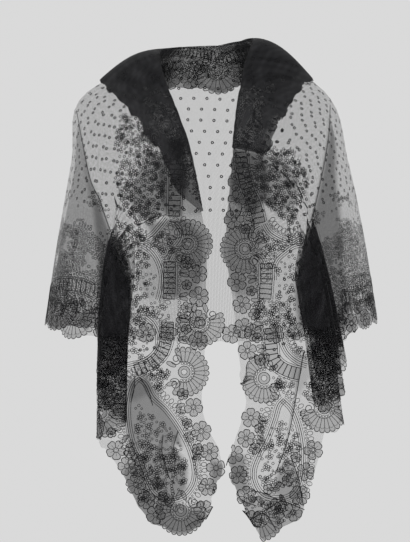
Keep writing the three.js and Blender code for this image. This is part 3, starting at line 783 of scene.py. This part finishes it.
reach = {}
for edge, fans in FANS.items():
    reach[edge] = np.zeros(COUNT)
    fans = fans[free(edge, fans)]
    for a in fans:
        reach[edge] = np.maximum(reach[edge], bulge(edge.length, a, FAN_R * 0.96, FAN_IN))
        border.on_edge(edge, a, FAN_IN, fan)
        for hand in (-1, 1):
            border.on_edge(edge, a + hand * 12, FAN_IN + 17, leaf(16, 7, math.pi / 2 - hand * 0.35))
    starts = np.concatenate([[-20.0 - FAN_R], fans])
    stops = np.concatenate([fans, [edge.total + 20 + FAN_R]])
    for a, b in zip(starts, stops):
        gap = b - a - 2 * FAN_R * 0.86
        count = int(gap // FLOWER_EVERY)
        if count < 1:
            continue
        for k in range(count):
            at = a + FAN_R * 0.86 + gap * (k + 0.5) / count
            if not free(edge, at) or at < 6 or at > edge.total - 6:
                continue
            inward = FLOWER_IN + 2 * (k % 2)
            border.on_edge(edge, at, inward, big_flowers[k % 4], rng.uniform(0, 6))
            reach[edge] = np.maximum(reach[edge], bulge(edge.length, at, FLOWER_R * 0.97, inward))
            if edge is HEM and BACK_FROM < edge.rib(at) < BACK_TO:
                continue
            border.on_edge(edge, at + gap / count / 2, SECOND_IN, small_flowers[k % 2], rng.uniform(0, 6))
            for side in (-0.13, 0.13):
                stem = leaf(15, 6, math.pi / 2 + side * 2)
                border.on_edge(edge, at + side * gap / count, SECOND_IN - 2.5, stem)
        chain = np.arange(a + FAN_R * 0.9, b - FAN_R * 0.9, CHAIN_EVERY)
        chain = chain[free(edge, chain)]
        if edge is HEM:
            row = edge.rib(chain)
            chain = chain[(row < BACK_FROM) | (row > BACK_TO)]
        i, m = edge.place(chain, np.full(len(chain), CHAIN_IN))
        small.rings(i, m, rng.uniform(2.2, 2.9, len(i)), BORDER_CORD)

# flowers down the end ribs of the two lappets
end_reach = {}
for end, hand in ((0, 1), (COUNT - 1, -1)):
    gap = np.linalg.norm(TABLE[end + 6 * hand] - TABLE[end], axis=1) / 6
    count = max(1, round(LENGTH[end] / FLOWER_EVERY))
    end_reach[end] = np.zeros(M + 1)
    for k in range(count):
        m = round(M * (k + 0.5) / count)
        inward = TABLE[end + 6 * hand, m] - TABLE[end, m]
        border.motif(turned(big_flowers[k % 4], k), end + hand * FLOWER_IN / gap[m], m, inward)
        out = bulge(np.arange(M + 1) * STEP[end], m * STEP[end], FLOWER_R * 0.97, FLOWER_IN)
        end_reach[end] = np.maximum(end_reach[end], out)
    end_reach[end] *= -hand / gap

# ladders that no chart shows: over the capes by the hem, and round the neck by the free edge
for edge in FANS:
    line = np.arange(2.0, edge.total - 2, 4.0)
    row = edge.rib(line)
    shown = (row > RIGHT_FRONT + 0.2) & (row < LEFT_FRONT - 0.2)
    if edge is HEM:
        shown &= (row < BACK_FROM) | (row > BACK_TO)
    shown = np.flatnonzero(shown)
    for part in np.split(shown, np.flatnonzero(np.diff(shown) > 1) + 1):
        at = line[part]
        wave = LADDER_IN + 8 * np.sin(at * 2 * np.pi / FAN_EVERY)
        for off, width in RAILS:
            border.line(edge, at, wave + off, width)
        for bar in np.arange(at[0], at[-1], BAR_EVERY):
            e = np.interp(bar, at, wave) + np.linspace(-LADDER_HALF, LADDER_HALF, 3)
            border.line(edge, np.full(3, bar), e, 1.4)

# the charted ladders and cords in front, and the tucks, whose dark strips also paint crease shade
for chart in LADDERS:
    middle = even(chart, 3.0)
    for off, width in RAILS:
        border.front(beside(middle, off), width)
    bars = even(chart, BAR_EVERY)
    for low, high in zip(beside(bars, -LADDER_HALF), beside(bars, LADDER_HALF)):
        border.front(np.linspace(low, high, 5), 1.5)
    border.fills.append((on_front(beside(middle, -LADDER_HALF)), on_front(beside(middle, LADDER_HALF))))
for chart in ARCS:
    middle = even(chart, 3.0)
    for off, width in ((0, 1.2), (3.2, 0.9), (6.4, 0.9), (-3.2, 0.7)):
        border.front(beside(middle, off), width)
    beads = beside(even(chart, 5.2), -7.0)
    small.rings(*on_front(beads), rng.uniform(1.3, 2.0, len(beads)), BORDER_CORD)
    petals = even(chart, 8.2)
    outward = unit(beside(petals, -1.0) - petals)
    lap = np.linspace(0, 2 * np.pi, 10)[:, None, None]
    forward = np.stack([outward[:, 1], -outward[:, 0]], 1)
    loops = petals + outward * (13.5 + 4.6 * np.cos(lap)) + forward * 3.3 * np.sin(lap)
    i, m = (v.reshape(len(lap), -1).T for v in on_front(loops.reshape(-1, 2)))
    border.strokes += [(a, b, BORDER_CORD) for a, b in zip(i, m)]
# painted crease shade: each tuck lays a tapered half-stitch strip and a dark cord line along a crease, partly
# doubled cloth, partly the crease's shade
for width, chart in TUCKS_AND_CREASE_SHADE:
    middle = even(chart, 3.0)
    taper = width / 2 * np.sin(np.linspace(0.25, np.pi, len(middle)))
    edges = [on_front(beside(middle, off)) for off in (taper[:, None], -taper[:, None])]
    border.fills.append((edges[0], edges[1]))
    border.strokes.append((*edges[1], 1.3))

# patches of small blossoms in front
for close, outline in CLOUDS:
    low, high = np.min(outline, 0), np.max(outline, 0)
    space = 6.4 / math.sqrt(close)
    level = space * 0.87
    x, z = np.meshgrid(np.arange(low[0], high[0], space), np.arange(low[1], high[1], level))
    x, z = x.ravel(), z.ravel()
    x = x + space / 2 * (np.round((z - low[1]) / level) % 2)
    places = np.stack([x, z], 1) + rng.uniform(-0.33, 0.33, (len(x), 2)) * space
    places = places[inside(outline, places[:, 0], places[:, 1])]
    many = rng.random(len(places)) < 0.3
    whole = np.concatenate([places[~many], blossoms(places[many])])
    i, m = on_front(whole)
    small.rings(i, m, rng.uniform(1.5, 2.3, len(i)), BLOSSOM_CORD)

# the turned-out collar and lapels, and the florals of the capes and falls
i, m, e, s = scattered(BLOSSOM_EVERY, 0.0, CLOTH_TO)
row = np.interp(i, EVERY, ROWS)
fold = np.interp(i, EVERY, FOLD)
from_edge = m * np.interp(i, EVERY, STEP)
on_flap = (fold > 5) & (from_edge > 16) & (from_edge < fold)
clumps = np.sin(s * 0.083 + 1.7 * np.sin(e * 0.05)) + np.sin(e * 0.097 + 1.3 * np.sin(s * 0.041))
clumps += rng.uniform(-0.7, 0.7, len(s))
on_cape = (e > 34) & (e < FLORAL_TO) & (from_edge > fold + 30)
on_cape &= clumps > ease(110, FLORAL_TO, e) * 2.6 - 1.3
on_cape &= (row > RIGHT_FRONT - 1) & (row < LEFT_FRONT + 1) & ((row < BACK_FROM) | (row > BACK_TO))
keep = (on_flap & (rng.random(len(s)) < 0.9)) | on_cape
small.rings(i[keep], m[keep] + rng.uniform(-0.4, 0.4, keep.sum()), rng.uniform(1.3, 2.5, keep.sum()), 1.05)

# dots on the open net
i, m, e, s = scattered(DOT_EVERY, DOTS_FROM, CLOTH_TO)
from_edge = m * np.interp(i, EVERY, STEP)
fold = np.interp(i, EVERY, FOLD)
keep = from_edge > np.where(fold > 1, fold + 12, 100)
dots.rings(i[keep], m[keep], np.full(keep.sum(), DOT_R), DOT_CORD)

# the net, out to the scallops of both its edges
pick = np.unique(np.concatenate([np.arange(0, COUNT, 2), [COUNT - 1]]))
down = np.arange(0, M + 1, 2.0)
above, below = (reach[edge][pick] / STEP[pick] for edge in (INNER, HEM))
columns = np.stack([-above, *np.repeat(down[:, None], len(pick), 1), M + below], 1)
pick = np.concatenate([[0], pick, [COUNT - 1]])
columns = np.concatenate([columns[:1], columns, columns[-1:]])
across = np.repeat(pick[:, None].astype(float), columns.shape[1], 1)
for at, end in ((0, 0), (-1, COUNT - 1)):
    across[at] += np.interp(columns[at], np.arange(M + 1), end_reach[end])
points = lookup(TABLE, across, columns)
grid = np.arange(points.shape[0] * points.shape[1]).reshape(points.shape[:2])
quads = np.stack([grid[:-1, :-1], grid[:-1, 1:], grid[1:, 1:], grid[1:, :-1]], -1).reshape(-1, 4)
uv = np.stack([0.02 + 0.96 * across / COUNT, 0.04 + 0.92 * columns / M], -1).reshape(-1, 2)
net = make_mesh("lace_net", points.reshape(-1, 3), quads, uv)
flat_u = np.repeat(walk(points[:, len(down) // 2])[:, None], columns.shape[1], 1)
flat_u += (across - pick[:, None]) * 1.5
inner = columns * STEP[pick][:, None]
flat = np.stack([flat_u, inner], -1).reshape(-1, 2) * 0.001
loops = np.zeros(len(net.data.loops), dtype=np.int32)
net.data.loops.foreach_get("vertex_index", loops)
net.data.uv_layers.new(name="Flat").data.foreach_set("uv", flat[loops].astype(np.float32).ravel())

# how closely the cloth lies gathered, 0 for flat net: collar, lapels, front edges and side falls
row, fold, up = ROWS[pick][:, None], FOLD[pick][:, None], points[..., 2]
across_neck = np.abs(row - NAPE)
cloudy = np.sin(inner * 0.13 + 2.0 * np.sin(row * 2.1)) * np.sin(row * 3.7 + inner * 0.06)
speckle = np.sin(inner * 0.33 + 3 * np.sin(row * 4.3)) * np.sin(row * 8.7 + inner * 0.19)
lapel = 0.83 + 0.1 * cloudy + 0.12 * speckle
lapel = lapel + 0.2 * ease(7.4, 5.4, across_neck) - 0.45 * ease(1.6, 0.6, across_neck)
lapel = lapel * ease(fold + 5, fold - 3, inner) * (0.45 + 0.55 * ease(-152, -122, up))
gather = np.where(fold > 1, lapel, 0)
front_edge = 0.22 * ease(64, 48, inner) * ease(-372, -345, up) * ease(-95, -130, up)
gather = np.maximum(gather, np.where((row < RIGHT_FRONT + 0.6) | (row > LEFT_FRONT - 0.6), front_edge, 0))
for start, step in ((RIGHT_FRONT, -1), (LEFT_FRONT, 1)):
    along = (row - start) * step
    streak = 0.12 + 0.12 * np.sin(row * 61) + 0.08 * np.sin(row * 173 + up * 0.01)
    in_fall = ((along > 0) & (along < 1)) * ease(0.25, 0.5, columns / M) * ease(-130, -230, up)
    gather = np.maximum(gather, in_fall * streak)
for amount, outline in DOUBLED:
    patch = amount * ease(-5, 7, depth_in(outline, points[..., 0], up)) * (points[..., 1] < -40)
    gather = gather + patch * (1 - gather)
gather = np.clip(gather, 0, 0.97)
# painted sheen: cloudy, speckled spots that lighten the net's colour, standing in for glints of light on the silk
painted_sheen = np.clip(0.45 + 0.3 * cloudy + 0.45 * speckle, 0, 1)
for name, values in (("gather", gather), ("painted_sheen", painted_sheen)):
    layer = net.data.attributes.new(name, "FLOAT", "POINT")
    layer.data.foreach_set("value", values.astype(np.float32).ravel())

gimp = ribbon_mesh("border_gimp", border.strokes, GIMP_LIFT)
small_gimp = ribbon_mesh("small_blossoms", small.strokes, GIMP_LIFT, crowned=False)
dot_gimp = ribbon_mesh("ring_dots", dots.strokes, DOT_LIFT, crowned=False)
filling = strip_mesh("half_stitch_and_crease_shade", border.fills, FILL_LIFT)
on_net = [gimp, small_gimp, dot_gimp, filling]


# Materials
class Socket:
    """A shader socket that ordinary arithmetic wraps in Math nodes."""

    def __init__(self, tree, socket):
        self.tree, self.socket = tree, socket

    def op(self, kind, *others):
        node = self.tree.nodes.new("ShaderNodeMath")
        node.operation = kind
        for slot, value in zip(node.inputs, (self, *others)):
            if isinstance(value, Socket):
                self.tree.links.new(value.socket, slot)
            else:
                slot.default_value = value
        return Socket(self.tree, node.outputs[0])

    def __add__(self, other):
        return self.op("ADD", other)

    def __mul__(self, other):
        return self.op("MULTIPLY", other)


def node(tree, kind, settings=None, **sockets):
    made = tree.nodes.new(kind)
    for name, value in (settings or {}).items():
        setattr(made, name, value)
    for name, value in sockets.items():
        slot = made.inputs[name.replace("_", " ")]
        if isinstance(value, Socket):
            tree.links.new(value.socket, slot)
        else:
            slot.default_value = value
    return made


THREAD_GLOSS = 0.15


def thread(name, colour, roughness, sheen):
    """A material of matt thread in one colour."""
    material = bpy.data.materials.new(name)
    material.use_nodes = True
    tree = material.node_tree
    tree.nodes.clear()
    shader = node(tree, "ShaderNodeBsdfPrincipled", Base_Color=(*colour, 1), Roughness=roughness,
                  Sheen_Weight=sheen, Specular_IOR_Level=THREAD_GLOSS)
    out = node(tree, "ShaderNodeOutputMaterial")
    tree.links.new(shader.outputs[0], out.inputs[0])
    return material, tree, shader


def honeycomb(tree, uv_name, cell):
    """A wave of honeycomb threads: high on the threads, low in the holes, one cell wide."""
    uv = node(tree, "ShaderNodeUVMap", {"uv_map": uv_name})
    split = node(tree, "ShaderNodeSeparateXYZ", Vector=Socket(tree, uv.outputs[0]))
    x, y = Socket(tree, split.outputs[0]), Socket(tree, split.outputs[1])
    k = 4 * math.pi / (math.sqrt(3) * cell)
    third = 2 * math.pi / 3
    waves = [(x * (k * math.cos(a)) + y * (k * math.sin(a))).op("COSINE") for a in (0.0, third, 2 * third)]
    return waves[0] + waves[1] + waves[2]


NET_CELL = 0.0021  # metres
net_material, tree, shader = thread("silk_net", (0.009, 0.009, 0.010), 0.7, 0.0)
holes = honeycomb(tree, "Flat", NET_CELL)
threads = node(tree, "ShaderNodeMapRange", {"interpolation_type": "SMOOTHSTEP"}, Value=holes,
               From_Min=-0.2, From_Max=-1.3, To_Min=0.04, To_Max=0.56)
threads = Socket(tree, threads.outputs[0])
gathered = node(tree, "ShaderNodeAttribute", {"attribute_name": "gather"})
gathered = Socket(tree, gathered.outputs["Fac"])
cover = threads + gathered * (threads * -1.0 + 1.0)
tree.links.new(cover.socket, shader.inputs["Alpha"])
# painted sheen: the attribute read here lightens the net's colour in spots, from near black to dark grey, in place
# of glints of light
painted_sheen = node(tree, "ShaderNodeAttribute", {"attribute_name": "painted_sheen"})
painted_sheen = Socket(tree, painted_sheen.outputs["Fac"])
shade = node(tree, "ShaderNodeMix", {"data_type": "RGBA"})
tree.links.new((painted_sheen * painted_sheen).socket, shade.inputs[0])
shade.inputs[6].default_value = (0.004, 0.004, 0.005, 1)
shade.inputs[7].default_value = (0.022, 0.022, 0.024, 1)
tree.links.new(shade.outputs[2], shader.inputs["Base Color"])

gimp_material, _, _ = thread("silk_gimp", (0.006, 0.006, 0.007), 0.5, 0.02)
# the half-stitch material also colours the tuck strips of painted crease shade
fill_material, tree, shader = thread("half_stitch_and_crease_shade", (0.012, 0.012, 0.013), 0.7, 0.0)
shader.inputs["Alpha"].default_value = 0.3

for obj in (net, *on_net):
    obj.data.materials.append({net: net_material, filling: fill_material}.get(obj, gimp_material))
    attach(obj, "root")
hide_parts("lace_mantilla")
cells = np.cross(points[1:, :-1] - points[:-1, :-1], points[:-1, 1:] - points[:-1, :-1])

# Stage, light and camera
FLOOR_SIZE, FLOOR_UP = 3.6, -0.86
MIDDLE_UP, VIEW_BACK, VIEW_WIDTH = -0.35, 9.1, 0.8672
LAMPS = [  # name, place, size, watts
    ("key", (-1.6, -2.2, 1.4), 1.8, 22),
    ("fill", (2.2, -1.8, 0.6), 2.0, 10),
    ("top", (0, 1.4, 2.2), 2.0, 12),
]
bpy.ops.mesh.primitive_plane_add(size=FLOOR_SIZE, location=(0, 0, FLOOR_UP))
floor = bpy.context.object
floor.name = "floor"
pale, _, _ = thread("pale_floor", (0.8, 0.8, 0.8), 0.9, 0.0)
floor.data.materials.append(pale)

world = bpy.data.worlds.new("studio")
bpy.context.scene.world = world
world.use_nodes = True
sky = world.node_tree.nodes["Background"]
sky.inputs[0].default_value = (1, 1, 1, 1)
sky.inputs[1].default_value = 0.7
for name, place, size, power in LAMPS:
    light = bpy.data.lights.new(name, "AREA")
    light.size, light.energy = size, power
    lamp = bpy.data.objects.new(name, light)
    bpy.context.collection.objects.link(lamp)
    lamp.location = place
    aim = np.array([0, 0, MIDDLE_UP]) - np.array(place)
    lamp.rotation_euler = Vector(aim).to_track_quat("-Z", "Y").to_euler()

camera = bpy.data.cameras.new("camera")
view = bpy.data.objects.new("camera", camera)
bpy.context.collection.objects.link(view)
view.location = (-0.0016, -VIEW_BACK, -0.3216)
view.rotation_euler = (math.pi / 2, 0, 0)
camera.lens = 36 * 9.0 / VIEW_WIDTH
camera.clip_end = 40
bpy.context.scene.camera = view
scene = bpy.context.scene
scene.view_settings.view_transform = "Standard"
scene.cycles.transparent_max_bounces = 40
